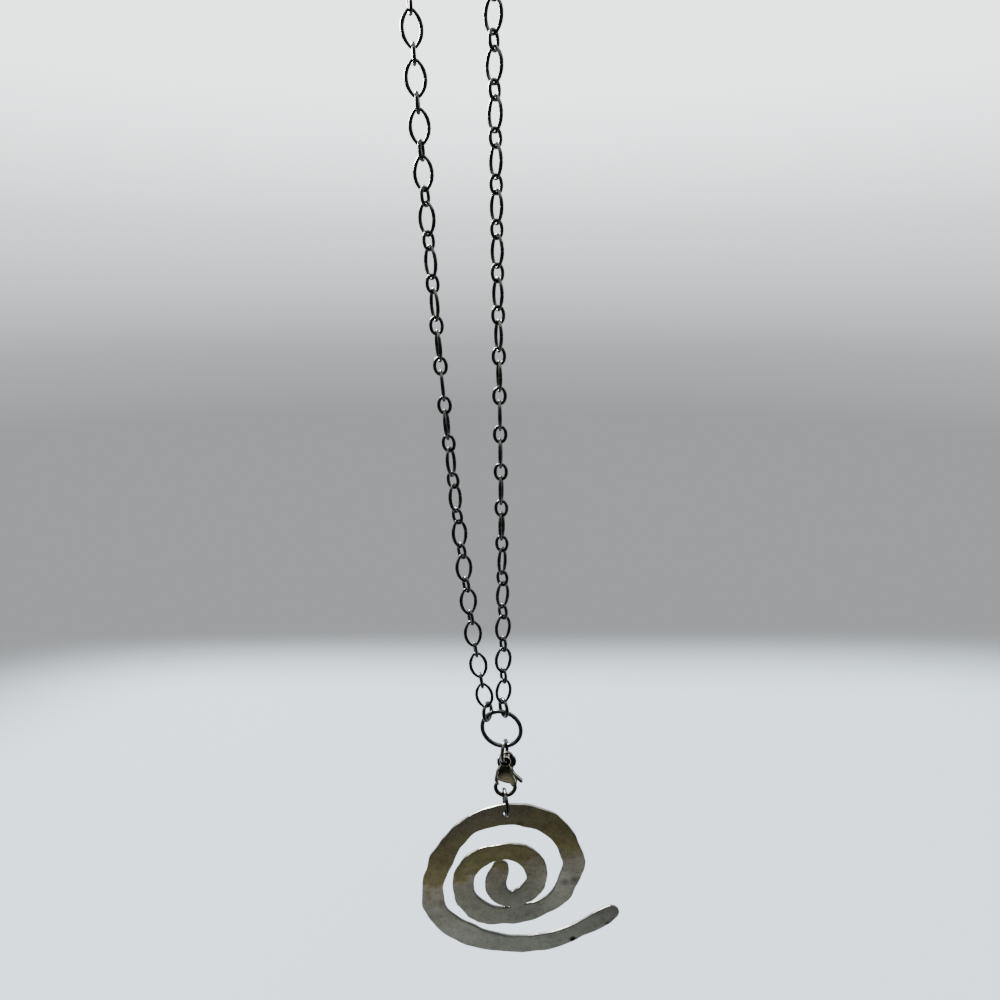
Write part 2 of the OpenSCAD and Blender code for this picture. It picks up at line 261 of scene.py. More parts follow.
# Dark woven cotton: quite matt, so that a polished wire shows it as an even dark
cloth, tree = new_material("dark_cloth")
place = add(tree, "ShaderNodeTexCoord").outputs["Object"]
tone = add(tree, "ShaderNodeValToRGB", {"Fac": inward(tree, place, CLOTH_PALE)}, stops=[
    (0.2, linear("#211f19")), (0.55, linear("#494740")), (0.85, linear("#6d6c66"))]).outputs["Color"]
weave = add(tree, "ShaderNodeBsdfPrincipled", {"Base Color": tone}, {"Roughness": 1.0})
add(tree, "ShaderNodeOutputMaterial", {"Surface": weave.outputs["BSDF"]})
bm = bmesh.new()
turned = Matrix.Rotation(radians(-90 - CLOTH_DEGREES / 2), 4, "Z")
run = [bm.verts.new(turned @ Vector(p)) for p in (
    (CLOTH_NEAR, 0, floor_z + CLOTH_ABOVE), (CLOTH_FAR, 0, floor_z + CLOTH_ABOVE),
    (CLOTH_FAR, 0, CLOTH_TOP))]
run += [bm.edges.new(pair) for pair in zip(run, run[1:])]
bmesh.ops.spin(bm, geom=run, cent=(0, 0, 0), axis=(0, 0, 1), angle=radians(CLOTH_DEGREES), steps=40,
               use_merge=False, use_duplicate=False)
flag = staged(bm, "dark_cloth", cloth)
flag.visible_camera = flag.visible_diffuse = flag.visible_shadow = False
print("cloth faces", len(flag.data.polygons))

# %% [markdown]
# One strong lamp gives the white glints on the wires and on the spiral's edge. It stands behind the
# necklace, to the left and as high as the top of the loop. Only shiny surfaces show it: the even
# light on the paper comes from the tent.

# %% The lamp
LAMP_AT = Vector((-200, 270, 0))
LAMP_ACROSS = 220
LAMP_WATTS = 20.0
lamp_data = bpy.data.lights.new("window", "AREA")
lamp_data.shape, lamp_data.size, lamp_data.energy = "DISK", LAMP_ACROSS * MM, LAMP_WATTS
lamp = bpy.data.objects.new("window", lamp_data)
lamp.location = LAMP_AT * MM
lamp.rotation_euler = (ring_centre - lamp.location).to_track_quat("-Z", "Y").to_euler()
lamp.visible_camera = lamp.visible_diffuse = False
bpy.context.scene.collection.objects.link(lamp)
print("lamp", LAMP_WATTS, "W,", LAMP_ACROSS, "mm across")

# %% [markdown]
# ## Finishes
# The chain is steel wire that was blackened and then rubbed bright again by wear. It is a metal all
# through, so what the eye reads as black is a dark reflection, with rubbed wire showing paler. Wear,
# dirt, painted sheen and painted shade lie at places of their own, so one function tells how near a
# point is to a place, another adds up such places, and a third lays one colour after another over a
# tone, as coats of patina lie.

# %% Places and coats
# A mixing node has an output for each kind of value, and this is the number of the one for colours
MIXED_COLOUR = 2


def near(tree, place, x, z, reach, y=None):
    """How near a point is to a place, all through or at that depth: one there, none at the reach."""
    size = 1 / (reach * MM)
    moved = add(tree, "ShaderNodeMapping", {"Vector": place},
                {"Scale": (size, 0 if y is None else size, size),
                 "Location": (-x / reach, 0 if y is None else -y / reach, -z / reach)})
    return add(tree, "ShaderNodeTexGradient", {"Vector": moved.outputs["Vector"]},
               gradient_type="SPHERICAL").outputs["Fac"]


def summed(tree, place, rows, start, y=None):
    """One socket: the start value and each row's nearness, times the row's amount."""
    total = start
    for x, z, reach, amount in rows:
        node = add(tree, "ShaderNodeMath", {0: near(tree, place, x, z, reach, y)},
                   {1: amount, 2: start}, operation="MULTIPLY_ADD")
        if total is not start:
            tree.links.new(total, node.inputs[2])
        total = node.outputs[0]
    return total


def coated(tree, tone, coats):
    """That tone with colours laid over it in turn, each by its own share."""
    for share, colour in coats:
        tone = add(tree, "ShaderNodeMix", {"Factor_Float": share, "A_Color": tone},
                   {"B_Color": colour}, data_type="RGBA").outputs[MIXED_COLOUR]
    return tone


# %% [markdown]
# Blackening is worn off first where a piece stands proud, so the pale tone of the cast pieces
# follows their sharp edges, and there it is also a painted sheen, where the edges catch the light.
# The clasp's hook is left dark, its belly is painted paler as a painted sheen, and the cup of its
# eye is painted near black as painted shade.

# %% Worn castings, with painted sheen and shade
# Sharpness of edge at which the pale edge, wear with a painted sheen, starts and is full, as
# Blender's Pointiness gives it
EDGE_FROM, EDGE_TO = 0.506, 0.545
# Places on the clasp, in millimetres: the middle of its eye and of its belly, the top of its hook
body_low, body_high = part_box("clasp_body")
EYE = (0.5, body_high.z / MM - 1.4)
BELLY = (EYE[0], EYE[1] - 5.4)
HOOK_TOP = body_low.z / MM + 4.6
EYE_REACH, BELLY_REACH, HOOK_FADE = 2, 2.6, 0.3
EYE_FROM, EYE_TO = 0.4, 0.46
# Painted shade: near black painted in the cup of the eye, where its hollow lies in shade
EYE_SHADE = "#16140f"
# How strong the painted sheen is that makes the belly paler where the lower body catches light
BELLY_SHEEN_AMOUNT = 1.8


def wear_and_sheen_tone(tree, place, tone, wear_and_sheen, belly_sheen=None):
    """A tone with edges of wear and painted sheen, and the clasp's painted belly sheen and eye shade."""
    # Pale edges: partly wear, partly a painted sheen where the edges catch the light
    edge = add(tree, "ShaderNodeNewGeometry").outputs["Pointiness"]
    edge_wear_and_sheen = add(tree, "ShaderNodeMapRange", {"Value": edge},
               {"From Min": EDGE_FROM, "From Max": EDGE_TO}).outputs["Result"]
    if belly_sheen is None:
        return coated(tree, tone, [(edge_wear_and_sheen, linear(wear_and_sheen))])
    height = add(tree, "ShaderNodeSeparateXYZ", {"Vector": place}).outputs["Z"]
    above = add(tree, "ShaderNodeMapRange", {"Value": height},
                {"From Min": (HOOK_TOP - HOOK_FADE) * MM, "From Max": (HOOK_TOP + HOOK_FADE) * MM})
    edge_wear_and_sheen = add(tree, "ShaderNodeMath", {0: edge_wear_and_sheen, 1: above.outputs["Result"]}, operation="MULTIPLY")
    # Painted sheen: the belly is painted paler where the lower body catches the light
    belly_sheen_share = summed(tree, place, [(*BELLY, BELLY_REACH, BELLY_SHEEN_AMOUNT)], 0.0)
    # Painted shade: the cup of the eye is painted near black
    eye_shade_share = add(tree, "ShaderNodeMapRange", {"Value": near(tree, place, *EYE, EYE_REACH)},
              {"From Min": EYE_FROM, "From Max": EYE_TO})
    return coated(tree, tone, [(belly_sheen_share, linear(belly_sheen)), (edge_wear_and_sheen.outputs[0], linear(wear_and_sheen)),
                               (eye_shade_share.outputs["Result"], linear(EYE_SHADE))])


print("the clasp's eye at mm", [round(v, 1) for v in EYE], "hook below", round(HOOK_TOP, 1))

# %% Worn metals
# Real scratches are finer than this: they are drawn as coarse as they need to show
SCRATCH_MM = 0.15
SCRATCH_BUMP = 0.35
# Rim is how much of its light a metal keeps where it is seen edge-on: the black film takes the rest


def metal(name, dark, pale, rough, patch_mm, bump_mm=0.004, rim=0.6, wear_and_sheen=None, belly_sheen=None):
    """A worn metal: two tones in soft patches, fine scratches in its gloss, and edges of wear and
    painted sheen.
    """
    material, tree = new_material(name)
    place = add(tree, "ShaderNodeTexCoord").outputs["Object"]
    patches = add(tree, "ShaderNodeTexNoise", {"Vector": place},
                  {"Scale": 1 / (patch_mm * MM), "Detail": 4.0})
    tone = add(tree, "ShaderNodeValToRGB", {"Fac": patches.outputs["Fac"]},
               stops=[(0.35, linear(dark)), (0.7, linear(pale))]).outputs["Color"]
    if wear_and_sheen:
        tone = wear_and_sheen_tone(tree, place, tone, wear_and_sheen, belly_sheen)
    fine = add(tree, "ShaderNodeTexNoise", {"Vector": place},
               {"Scale": 1 / (SCRATCH_MM * MM), "Detail": 3.0, "Roughness": 0.6})
    gloss = add(tree, "ShaderNodeMapRange", {"Value": fine.outputs["Fac"]},
                {"From Min": 0.3, "From Max": 0.7, "To Min": rough[0], "To Max": rough[1]})
    relief = add(tree, "ShaderNodeBump", {"Height": fine.outputs["Fac"]},
                 {"Strength": SCRATCH_BUMP, "Distance": bump_mm * MM})
    surface = add(tree, "ShaderNodeBsdfPrincipled",
                  {"Base Color": tone, "Roughness": gloss.outputs["Result"],
                   "Normal": relief.outputs["Normal"]},
                  {"Metallic": 1.0, "Specular Tint": (rim, rim, rim, 1)})
    add(tree, "ShaderNodeOutputMaterial", {"Surface": surface.outputs["BSDF"]})
    return material


# Blackened wire: smooth and near black, with clean narrow highlights
blackened_wire = metal("blackened_steel_wire", dark="#2c2c2a", pale="#4a4946",
                       rough=(0.13, 0.2), patch_mm=1.2, bump_mm=0.002, rim=0.75)
# The round ring: rubbed a little more by what rides on it, but duller where it is seen edge-on
plated_ring = metal("blackened_ring", dark="#3a3a38", pale="#525250",
                    rough=(0.14, 0.24), patch_mm=1.6, rim=0.4)
# The clasp's jump ring: rubbed paler, so that it flashes from black to white
bright_ring = metal("rubbed_steel_ring", dark="#3d3c3a", pale="#5e5d59",
                    rough=(0.1, 0.2), patch_mm=1.6)
# Cast clasp, antiqued: brown-black, with painted shade in its eye, a painted sheen on its belly,
# and edges pale from wear and a painted sheen
antiqued_casting = metal("antiqued_casting", dark="#36342b", pale="#504c40",
                         rough=(0.18, 0.3), patch_mm=0.9, wear_and_sheen="#cbc6b9", belly_sheen="#c9c3a0")
# Stamped lever: the same plating, smoother from the press
stamped_lever = metal("stamped_lever", dark="#45433d", pale="#6a675e",
                      rough=(0.14, 0.26), patch_mm=0.8, wear_and_sheen="#c6c4bd")
# Blackened tag: flat dark sheet, which hardly shines except along its rim, pale from wear and a painted
# sheen
blackened_sheet = metal("blackened_sheet", dark="#24231f", pale="#3d3b36",
                        rough=(0.3, 0.45), patch_mm=1.5, wear_and_sheen="#8f8a80")
print("metals", [m.name for m in bpy.data.materials])

# %% [markdown]
# The spiral is aluminium strip beaten flat and left unpolished. Its tone is darkest at the top, olive
# on its upper half, and grey below a soft slanting line, and painted reflection lightens its flanks
# and darkens its middle. Its cut edges are dull bare metal, painted paler towards the top as a
# painted highlight, with a dark burr along each face, and the burr of the back is rolled over the
# edge. The material is built up in that order: the olive tone, then painted reflection and dirt,
# then the edges, and last the satin gloss.

# %% The olive tone on the aluminium
# Hammered aluminium: satin and soft in its shine, pale grey where bare and olive towards the top
# Heights in millimetres: none below the first, all above the second, on lines of this slant
OLIVE_LOW, OLIVE_HIGH = -375, -327
OLIVE_SLANT = -0.224
OLIVE_MOST = 0.85
OLIVE_PATCH_MM, OLIVE_PATCHY = 6, 0.34
hammered, tree = new_material("hammered_aluminium")
place = add(tree, "ShaderNodeTexCoord").outputs["Object"]
slant = add(tree, "ShaderNodeVectorMath", {0: place}, {1: (OLIVE_SLANT, 0, 1)},
            operation="DOT_PRODUCT")
lift = add(tree, "ShaderNodeMapRange", {"Value": slant.outputs["Value"]},
           {"From Min": OLIVE_LOW * MM, "From Max": OLIVE_HIGH * MM, "To Max": OLIVE_MOST})
patches = add(tree, "ShaderNodeTexNoise", {"Vector": place},
              {"Scale": 1 / (OLIVE_PATCH_MM * MM), "Detail": 5.0, "Roughness": 0.6})
# The olive share: darker and more olive towards the top, in slow patches
olive_share = add(tree, "ShaderNodeMath", {0: patches.outputs["Fac"], 2: lift.outputs["Result"]},
           {1: OLIVE_PATCHY}, operation="MULTIPLY_ADD")
tone = add(tree, "ShaderNodeValToRGB", {"Fac": olive_share.outputs[0]}, stops=[
    (0.25, linear("#a0a29d")), (0.56, linear("#a0a097")), (0.65, linear("#a39d90")),
    (0.69, linear("#918c68")), (0.86, linear("#888263")), (1.0, linear("#757062"))
]).outputs["Color"]
print("film from", OLIVE_LOW, "to", OLIVE_HIGH, "mm")

# %% Painted reflection, grain and spots
# The grain of real satin metal is finer than this: it is drawn as coarse as it needs to show
GRAIN_MM, GRAIN_DARK = 0.35, 0.62
BLOTCH_MM, BLOTCH_DARK = 1.8, 0.82
# The level from which the painted reflection lightens or darkens the tone
PAINTED_REFLECTION_BASE = 0.9
SPOTS_AT_Y = -0.8
# Painted reflection: the flanks are painted lighter and the middle darker, as the room in front showed
# in the metal
PAINTED_REFLECTIONS = [
    # x, z and reach in mm, change of brightness
    (-22, -352, 12, 0.55), (-14, -366, 11, 0.35), (19, -348, 11, 0.5), (11, -350, 6, 0.5),
    (-10, -350, 6, 0.3), (27, -363, 10, -0.2), (13, -356, 8, 0.5), (0, -354, 4, -0.3),
    (-6, -330, 20, 0.35),
]
SPOTS = [
    # x, z and reach in mm, how dark
    (16.2, -371.4, 1.15, 2.2), (25.7, -366.7, 1.1, 0.9), (27.2, -365.7, 1.0, 0.8),
    (17.2, -351.8, 1.8, 0.7), (14.6, -352.3, 1.5, 0.6), (-18.4, -357.0, 1.3, 0.5),
    (3.4, -333.2, 1.3, 0.6), (13.0, -342.5, 1.2, 0.5), (9.3, -353.6, 1.2, 0.4),
]
grain = add(tree, "ShaderNodeTexNoise", {"Vector": place},
            {"Scale": 1 / (GRAIN_MM * MM), "Detail": 6.0, "Roughness": 0.65})
blotches = add(tree, "ShaderNodeTexNoise", {"Vector": place},
               {"Scale": 1 / (BLOTCH_MM * MM), "Detail": 3.0, "Roughness": 0.6})
# The painted reflection, then the grain and the blotches, multiply the tone
shades = [summed(tree, place, PAINTED_REFLECTIONS, PAINTED_REFLECTION_BASE)]
for dirt, low in ((grain, GRAIN_DARK), (blotches, BLOTCH_DARK)):
    shades.append(add(tree, "ShaderNodeValToRGB", {"Fac": dirt.outputs["Fac"]}, stops=[
        (0.3, (low, low, low, 1)), (0.54, (1, 1, 1, 1))]).outputs["Color"])
for shade in shades:
    tone = add(tree, "ShaderNodeMix", {"A_Color": tone, "B_Color": shade}, {"Factor_Float": 1.0},
               data_type="RGBA", blend_type="MULTIPLY").outputs[MIXED_COLOUR]
tone = coated(tree, tone, [(summed(tree, place, SPOTS, 0.0, SPOTS_AT_Y), linear("#1d1b17"))])
print(len(PAINTED_REFLECTIONS), "rubbed places and", len(SPOTS), "spots")

# %% The burr and the cut edge
# Facing is 1 where the metal looks to the front or the back, and 0 on the cut walls. The burr and
# the bare wall start and are full at these values, and the rolled burr ends between these depths
BURR_FROM, BURR_TO, BURR_DARK = 0.985, 0.9, 0.38
WALL_FROM, WALL_TO = 0.75, 0.5
ROLLED_FROM_Y, ROLLED_TO_Y = 0.14, 0.04
facing = add(tree, "ShaderNodeSeparateXYZ",
             {"Vector": add(tree, "ShaderNodeTexCoord").outputs["Normal"]}).outputs["Y"]
facing = add(tree, "ShaderNodeMath", {0: facing}, operation="ABSOLUTE").outputs[0]
burr = add(tree, "ShaderNodeMapRange", {"Value": facing},
           {"From Min": BURR_FROM, "From Max": BURR_TO, "To Max": BURR_DARK})
tone = coated(tree, tone, [(burr.outputs["Result"], linear("#3a382f"))])
wall = add(tree, "ShaderNodeMapRange", {"Value": facing}, {"From Min": WALL_FROM, "From Max": WALL_TO})
depth = add(tree, "ShaderNodeSeparateXYZ", {"Vector": place}).outputs["Y"]
front = add(tree, "ShaderNodeMapRange", {"Value": depth},
            {"From Min": ROLLED_FROM_Y * MM, "From Max": ROLLED_TO_Y * MM})
bare = add(tree, "ShaderNodeMath", {0: wall.outputs["Result"], 1: front.outputs["Result"]},
           operation="MULTIPLY")
# Painted highlight: the bare cut edge is painted paler towards the top, where the edges catch more light
cut = add(tree, "ShaderNodeValToRGB", {"Fac": lift.outputs["Result"]},
          stops=[(0.42, linear("#3d3d3a")), (0.75, linear("#6b6b66"))])
tone = add(tree, "ShaderNodeMix",
           {"Factor_Float": bare.outputs[0], "A_Color": tone, "B_Color": cut.outputs["Color"]},
           data_type="RGBA").outputs[MIXED_COLOUR]
print("the cut edge is bare in front of y", ROLLED_TO_Y, "mm")

# %% The gloss of the aluminium
SATIN_ROUGH = (0.26, 0.42)
GRAIN_DEEP = 0.02
GRAIN_BUMP = 0.4
gloss = add(tree, "ShaderNodeMapRange", {"Value": grain.outputs["Fac"]},
            {"From Min": 0.3, "From Max": 0.7, "To Min": SATIN_ROUGH[0], "To Max": SATIN_ROUGH[1]})
relief = add(tree, "ShaderNodeBump", {"Height": grain.outputs["Fac"]},
             {"Strength": GRAIN_BUMP, "Distance": GRAIN_DEEP * MM})
surface = add(tree, "ShaderNodeBsdfPrincipled",
              {"Base Color": tone, "Roughness": gloss.outputs["Result"],
               "Normal": relief.outputs["Normal"]}, {"Metallic": 1.0})
add(tree, "ShaderNodeOutputMaterial", {"Surface": surface.outputs["BSDF"]})
print("aluminium roughness", SATIN_ROUGH)

# %% [markdown]
# ## From the frame to finer pieces
# Each CAD node is exact but plain: loose triangles, with square edges. A merged copy in millimetres
# is the start of every piece that keeps the node's shape, and measuring each loose ring gives the
# place, turn and size of the link that is made anew there.

# %% Copies and placed pieces
SAME_POINT = 0.001


def merged_copy(node):
    """A bmesh in millimetres of that node, with its doubles merged."""
    bm = bmesh.new()
    bm.from_mesh(frame["nodes"][node].data)
    bmesh.ops.scale(bm, vec=(1 / MM,) * 3, verts=bm.verts)
    bmesh.ops.remove_doubles(bm, verts=bm.verts, dist=SAME_POINT)
    return bm


def placed(bm, name, node, material):
    """A finished bmesh in millimetres, made the piece that stands for that node."""
    bmesh.ops.scale(bm, vec=(MM, MM, MM), verts=bm.verts)
    mesh = bpy.data.meshes.new(name)
    for face in bm.faces:
        face.smooth = True
    bm.to_mesh(mesh)
    bm.free()
    mesh.materials.append(material)
    obj = bpy.data.objects.new(name, mesh)
    bpy.context.scene.collection.objects.link(obj)
    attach(obj, body_of[node])
    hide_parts(node)
    print(name, "faces", len(mesh.polygons))


# %% Loose rings, measured
def loose_rings(node):
    """The place, axes (side, back, up) and sizes of each loose ring of a node, in millimetres."""
    bm = merged_copy(node)
    bm.faces.ensure_lookup_table()
    found, seen = [], set()
    for first in bm.faces:
        if first.index in seen:
            continue
        seen.add(first.index)
        part, front = [], [first]
        while front:
            face = front.pop()
            part.append(face)
            for beside in (f for e in face.edges for f in e.link_faces):
                if beside.index not in seen:
                    seen.add(beside.index)
                    front.append(beside)
        areas = np.array([f.calc_area() for f in part])
        middles = np.array([f.calc_center_median() for f in part])
        corners = np.array([v.co for f in part for v in f.verts])
        centre = areas @ middles / areas.sum()
        spread = (middles - centre).T @ ((middles - centre) * areas[:, None])
        back, side, up = np.linalg.eigh(spread)[1].T
        up = up if up[2] > 0 else -up
        axes = np.array([side, np.cross(up, side), up])
        sizes = np.ptp((corners - centre) @ axes.T, axis=0)
        found.append((centre, axes, sizes))
    bm.free()
    return found


left_rings = loose_rings("chain_left")
print("left rings", len(left_rings), "sizes", sorted({tuple(s.round(1)) for _, _, s in left_rings}))

# %% [markdown]
# ## The chain
# Each link of the real chain is a length of wire bent into a pointed oval and closed end to end. It
# is made the same way here: a round profile is spun round a tight centre for each end and round a
# far one for each side, until it meets itself. The links and rings of the CAD are only measured. Its
# wires are thin, because its links need their free play, so all the wires here are a little thicker.
# Bending draws the wire of a long link thin at its ends, so its sides are the fullest.

# %% A bent link
WIRE_SIDES = 12
WELD = 0.002


def wire_section(bm, wire, at):
    """A round wire's section, standing across the X axis at that point."""
    made = bmesh.ops.create_circle(bm, segments=WIRE_SIDES, radius=wire / 2,
                                   matrix=Matrix.Translation(at) @ Matrix.Rotation(pi / 2, 4, "Y"))
    return made["verts"] + list({e for v in made["verts"] for e in v.link_edges})


def bent(bm, run, centre, angle, steps):
    """The open end of a wire, bent on round that centre in the XZ plane."""
    made = bmesh.ops.spin(bm, geom=run, cent=centre, axis=(0, 1, 0), angle=angle, steps=steps,
                          use_merge=False, use_duplicate=False)
    return made["geom_last"]


def closed(bm):
    """Welds a wire that has met itself, and turns its faces outwards."""
    bmesh.ops.remove_doubles(bm, verts=bm.verts, dist=WELD)
    bmesh.ops.recalc_face_normals(bm, faces=bm.faces)
    bm.normal_update()
    return bm


def fuller(bm, by, thin_from=None, thin_to=None):
    """A piece made thicker, all round or only below the heights at which its wire is drawn thin."""
    for v in bm.verts:
        share = 1 if thin_from is None else (thin_to - abs(v.co.z)) / (thin_to - thin_from)
        v.co += v.normal * by * min(max(share, 0), 1)
    return bm


def oval_link(length, width, wire, end_bend, steps=(3, 7)):
    """A pointed oval link in the XZ plane, its length along Z, with steps for half an end and a side."""
    tall, half = (length - wire) / 2, (width - wire) / 2
    side_bend = ((tall - end_bend) ** 2 + half ** 2 - end_bend ** 2) / (2 * (half - end_bend))
    opening = atan2(side_bend - half, tall - end_bend)
    top, bottom = (0, 0, tall - end_bend), (0, 0, end_bend - tall)
    bm = bmesh.new()
    run = wire_section(bm, wire, (0, 0, tall))
    run = bent(bm, run, top, opening, steps[0])
    run = bent(bm, run, (half - side_bend, 0, 0), pi - 2 * opening, steps[1])
    run = bent(bm, run, bottom, 2 * opening, 2 * steps[0])
    run = bent(bm, run, (side_bend - half, 0, 0), pi - 2 * opening, steps[1])
    bent(bm, run, top, opening, steps[0])
    return closed(bm)


def round_link(across, wire, steps=24):
    """A round ring that stands in the XZ plane."""
    bm = bmesh.new()
    run = wire_section(bm, wire, (0, 0, (across - wire) / 2))
    bent(bm, run, (0, 0, 0), 2 * pi, steps)
    return closed(bm)


trial = oval_link(length=7, width=4.3, wire=0.55, end_bend=1)
print("a link has", len(trial.faces), "faces,", sum(e.is_boundary for e in trial.edges), "open edges")
trial.free()

# %% [markdown]
# The joint of a link is a straight cut, pressed shut. It shows as a fine dark line across one side,
# and it is modelled as a narrow groove: three cuts close together, with the middle one drawn in.

# %% The cut across a ring
# The groove's lips lie this far from its bottom, which is found within this height in millimetres
# and keeps this share of the wire
CUT_LIP = 0.07
CUT_NEAR = 0.01
CUT_DEEP = 0.9


def cut_across(bm, side):
    """A narrow groove round the wire of a link at half its height, on the side of that sign."""
    for height in (-CUT_LIP, 0, CUT_LIP):
        half = [f for f in bm.faces if f.calc_center_median().x * side > 0]
        geom = half + list({e for f in half for e in f.edges}) + list({v for f in half for v in f.verts})
        bmesh.ops.bisect_plane(bm, geom=geom, dist=SAME_POINT, plane_co=(0, 0, height),
                               plane_no=(0, 0, 1))
    ring = [v for v in bm.verts if abs(v.co.z) < CUT_NEAR and v.co.x * side > 0]
    middle = sum((v.co for v in ring), Vector()) / len(ring)
    bmesh.ops.scale(bm, vec=(CUT_DEEP,) * 3, verts=ring, space=Matrix.Translation(-middle))
    return bm


trial = cut_across(round_link(across=4, wire=0.5), 1)
print("a cut ring has", len(trial.faces), "faces")
trial.free()

# %% Links in the places of the CAD's links
# In millimetres: an end link is as wide as it is long, within this, and long links start here
ROUND_WITHIN = 0.3
LONG_FROM = 6
END_BEND = {"long": 1.0, "small": 1.1}
# How far the wire's surface is pushed out, and the heights between which a long link's wire thins
ALL_FULLER = 0.03
SIDE_FULLER = 0.1
END_FULLER = 0.12
THIN_FROM, THIN_TO = 1.6, 3.0


def rings_like(node, make):
    """One bmesh with a new link for each loose ring of that node, where that ring hangs."""
    whole = bmesh.new()
    for count, (centre, axes, sizes) in enumerate(loose_rings(node)):
        link = make(count, sizes)
        turn = Matrix(axes.T.tolist()).to_4x4()
        bmesh.ops.transform(link, matrix=Matrix.Translation(centre) @ turn, verts=link.verts)
        part = bpy.data.meshes.new("link")
        link.to_mesh(part)
        link.free()
        whole.from_mesh(part)
        bpy.data.meshes.remove(part)
    return whole


def chain_link(count, sizes):
    """A long, small or end link of those sizes, cut on one side."""
    width, wire, length = (float(size) for size in sizes)
    if length - width < ROUND_WITHIN:
        return cut_across(fuller(round_link(length, wire), END_FULLER), 1)
    kind = "long" if length > LONG_FROM else "small"
    link = oval_link(length, width, wire, END_BEND[kind])
    fuller(link, ALL_FULLER)
    if kind == "long":
        fuller(link, SIDE_FULLER, THIN_FROM, THIN_TO)
    return cut_across(link, 1 if count % 2 else -1)


for side in ("left", "right"):
    placed(rings_like("chain_" + side, chain_link), side + "_chain", "chain_" + side,
           blackened_wire)

# %% [markdown]
# The three bigger rings are the same wirework, one of each, with more steps round the bend, because
# they are the biggest rings in the picture. The round ring is soldered, so it has no cut.

# %% The rings
BIG_RINGS = [
    # node, name, finish, how far the wire is pushed out in mm, cut
    ("centre_ring", "round_ring", plated_ring, 0.09, False),
    ("clasp_ring", "clasp_jump_ring", bright_ring, 0.13, True),
    ("pendant_ring", "pendant_jump_ring", blackened_wire, 0.1, True),
]
RING_STEPS = 96


def big_ring(sizes, more, cut):
    """A round ring of those sizes with fuller wire, cut unless it is soldered."""
    ring = fuller(round_link(float(max(sizes)), float(min(sizes)), RING_STEPS), more)
    return cut_across(ring, 1) if cut else ring


for node, name, finish, more, cut in BIG_RINGS:
    ring = rings_like(node, lambda count, sizes: big_ring(sizes, more, cut))
    placed(ring, name, node, finish)

# %% [markdown]
# ## The clasp
# A lobster clasp is cast, then tumbled with stones until every edge is soft. The exact copy has
# square edges, so it is remeshed into small even cells and relaxed: the volume keeps its outline
# while the edges melt, as tumbling does to the casting. The lever is thin, and relaxing draws its
# tab thinner still, so its surface is pushed out a little afterwards.

# %% Remade of small cells
# The size of the cells in millimetres, the rounds of smoothing and how far each round goes
CASTING_CELL, STAMPING_CELL = 0.08, 0.06
ROUNDS = 4
RELAX = 0.5


def remeshed(bm, cell, rounds):
    """That bmesh remade of even cells and smoothed, in millimetres."""
    mesh = bpy.data.meshes.new("raw")
    bm.to_mesh(mesh)
    bm.free()
    raw = bpy.data.objects.new("raw", mesh)
    bpy.context.scene.collection.objects.link(raw)
    cells = raw.modifiers.new("cells", "REMESH")
    cells.mode, cells.voxel_size = "VOXEL", cell
    soft = raw.modifiers.new("soft", "SMOOTH")
    soft.factor, soft.iterations = RELAX, rounds
    done = bpy.data.meshes.new_from_object(raw.evaluated_get(bpy.context.evaluated_depsgraph_get()))
    made = bmesh.new()
    made.from_mesh(done)
    bpy.data.objects.remove(raw)
    bpy.data.meshes.remove(mesh)
    bpy.data.meshes.remove(done)
    return made


casting = remeshed(merged_copy("clasp_body"), CASTING_CELL, ROUNDS)
stamping = remeshed(merged_copy("clasp_lever"), STAMPING_CELL, ROUNDS)
tag = remeshed(merged_copy("back_tag"), CASTING_CELL, ROUNDS)
print("faces of body, lever and tag", [len(bm.faces) for bm in (casting, stamping, tag)])

# %% The clasp, its lever and the tag
RIM_WIDE, RIM_SLANT = 0.5, 0.9
# A wall looks to the front or back by less than this share, and its rim is this far out, in mm
WALL_TURNED = 0.4
WALL_OUT = 0.6
LEVER_FULLER = 0.05


def chamfered(bm, wide, share, lowest):
    """That casting with the rim of its faces slanted back, above that height."""
    bm.normal_update()
    walls = [v.co for v in bm.verts if abs(v.normal.y) < WALL_TURNED and abs(v.co.y) > WALL_OUT]
    rim = KDTree(len(walls))
    for index, co in enumerate(walls):
        rim.insert((co.x, 0, co.z), index)
    rim.balance()
    for v in bm.verts:
        if abs(v.normal.y) > WALL_TURNED and v.co.y * v.normal.y > 0 and v.co.z > lowest:
            away = rim.find((v.co.x, 0, v.co.z))[2]
            v.co.y -= max(wide - away, 0) * share * (1 if v.co.y > 0 else -1)
    return bm


chamfered(casting, RIM_WIDE, RIM_SLANT, HOOK_TOP)
placed(casting, "clasp_casting", "clasp_body", antiqued_casting)
stamping.normal_update()
placed(fuller(stamping, LEVER_FULLER), "lever", "clasp_lever", stamped_lever)
placed(tag, "tag", "back_tag", blackened_sheet)

# %% [markdown]
# ## The hammered spiral
# A planishing hammer has a slightly domed face, so each blow presses a shallow round dish, and where
# dishes meet they leave a crease. The copy of the plate is remeshed finely enough to hold them, and
# then each face is pressed by a field of blows: at any point the deepest dish wins. The blows also
# drive the strip's edges out unevenly, and a slow noise in the plate's plane does that here, first.

# %% The plate and its wandering edges
PLATE_CELL = 0.18
PLATE_ROUNDS = 5
# How far the edges wander and how far apart they turn, in millimetres
WANDER = 0.45
WANDER_PITCH = 4.2
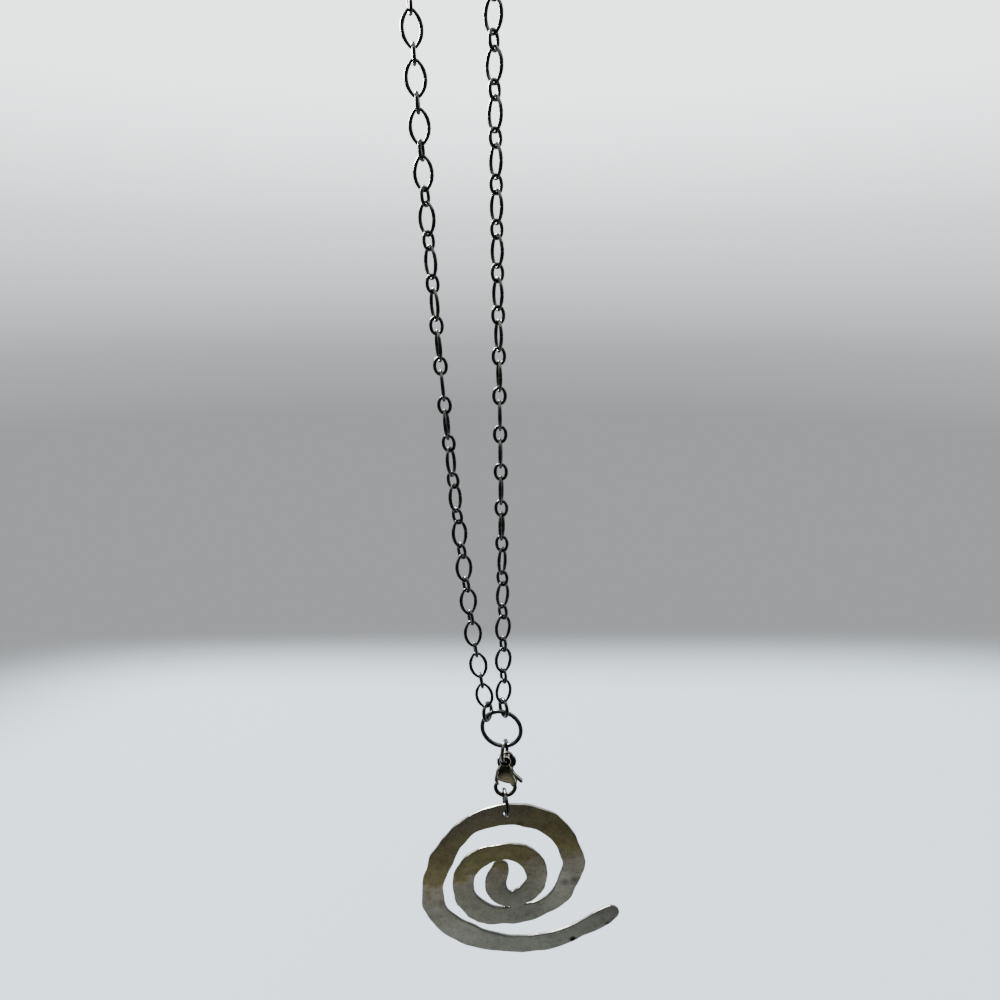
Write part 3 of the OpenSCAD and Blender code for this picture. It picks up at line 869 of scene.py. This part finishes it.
# The strip stays true round its hole, so that the ring still hangs in it
HOLE = Vector((0.02, 0, spiral_high.z / MM - 3.2))
TRUE_TO, WANDERS_OVER = 1.6, 4
OTHER_NOISE = Vector((0, 9.5, 0))
plate = remeshed(merged_copy("spiral"), PLATE_CELL, PLATE_ROUNDS)
for v in plate.verts:
    here = Vector((v.co.x, 0, v.co.z)) / WANDER_PITCH
    wander = Vector((noise.noise(here), 0, noise.noise(here + OTHER_NOISE)))
    share = ((v.co - HOLE).length - TRUE_TO) / WANDERS_OVER
    v.co += wander * WANDER * min(max(share, 0), 1)
print("plate faces", len(plate.faces))

# %% Hammer blows
# The hammer's radius and the depth of a blow vary between these, in millimetres
DISH_RADIUS = (20, 38)
DISH_DEPTH = (0.05, 0.13)
BLOW_PITCH = 4.6
BLOW_JITTER = 0.42


def blows(seed, low, high):
    """Blows on a jittered grid over the plate: rows of x, z, dish radius and depth."""
    draw = np.random.default_rng(seed)
    rows = [(x, z) for x in np.arange(low.x / MM - BLOW_PITCH, high.x / MM + BLOW_PITCH, BLOW_PITCH)
            for z in np.arange(low.z / MM - BLOW_PITCH, high.z / MM + BLOW_PITCH, BLOW_PITCH)]
    jitter = draw.uniform(-BLOW_JITTER, BLOW_JITTER, (len(rows), 2))
    places = np.array(rows) + jitter * BLOW_PITCH
    return np.column_stack([places, draw.uniform(*DISH_RADIUS, len(rows)),
                            draw.uniform(*DISH_DEPTH, len(rows))])


def pressed(x, z, field):
    """How deep the field of blows presses the plate at those points."""
    deep = np.zeros(len(x))
    for blow_x, blow_z, radius, depth in field:
        away = (x - blow_x) ** 2 + (z - blow_z) ** 2
        deep = np.maximum(deep, depth - away / (2 * radius))
    return deep


front_blows = blows(seed=3, low=spiral_low, high=spiral_high)
back_blows = blows(seed=8, low=spiral_low, high=spiral_high)
print("blows on each face", len(front_blows))

# %% The hammered spiral
FACE_FROM_Y = 0.3
mesh = bpy.data.meshes.new("plate")
plate.to_mesh(mesh)
plate.free()
points = np.zeros(len(mesh.vertices) * 3)
mesh.vertices.foreach_get("co", points)
points = points.reshape(-1, 3)
for side, field in ((-1, front_blows), (1, back_blows)):
    here = points[:, 1] * side > FACE_FROM_Y
    deep = pressed(points[here, 0], points[here, 2], field)
    points[here, 1] -= side * deep
    print("side", side, "dishes up to mm", round(float(deep.max()), 3))
mesh.vertices.foreach_set("co", points.ravel())
plate = bmesh.new()
plate.from_mesh(mesh)
bpy.data.meshes.remove(mesh)
placed(plate, "hammered_spiral", "spiral", hammered)

# %% The size
low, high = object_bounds()
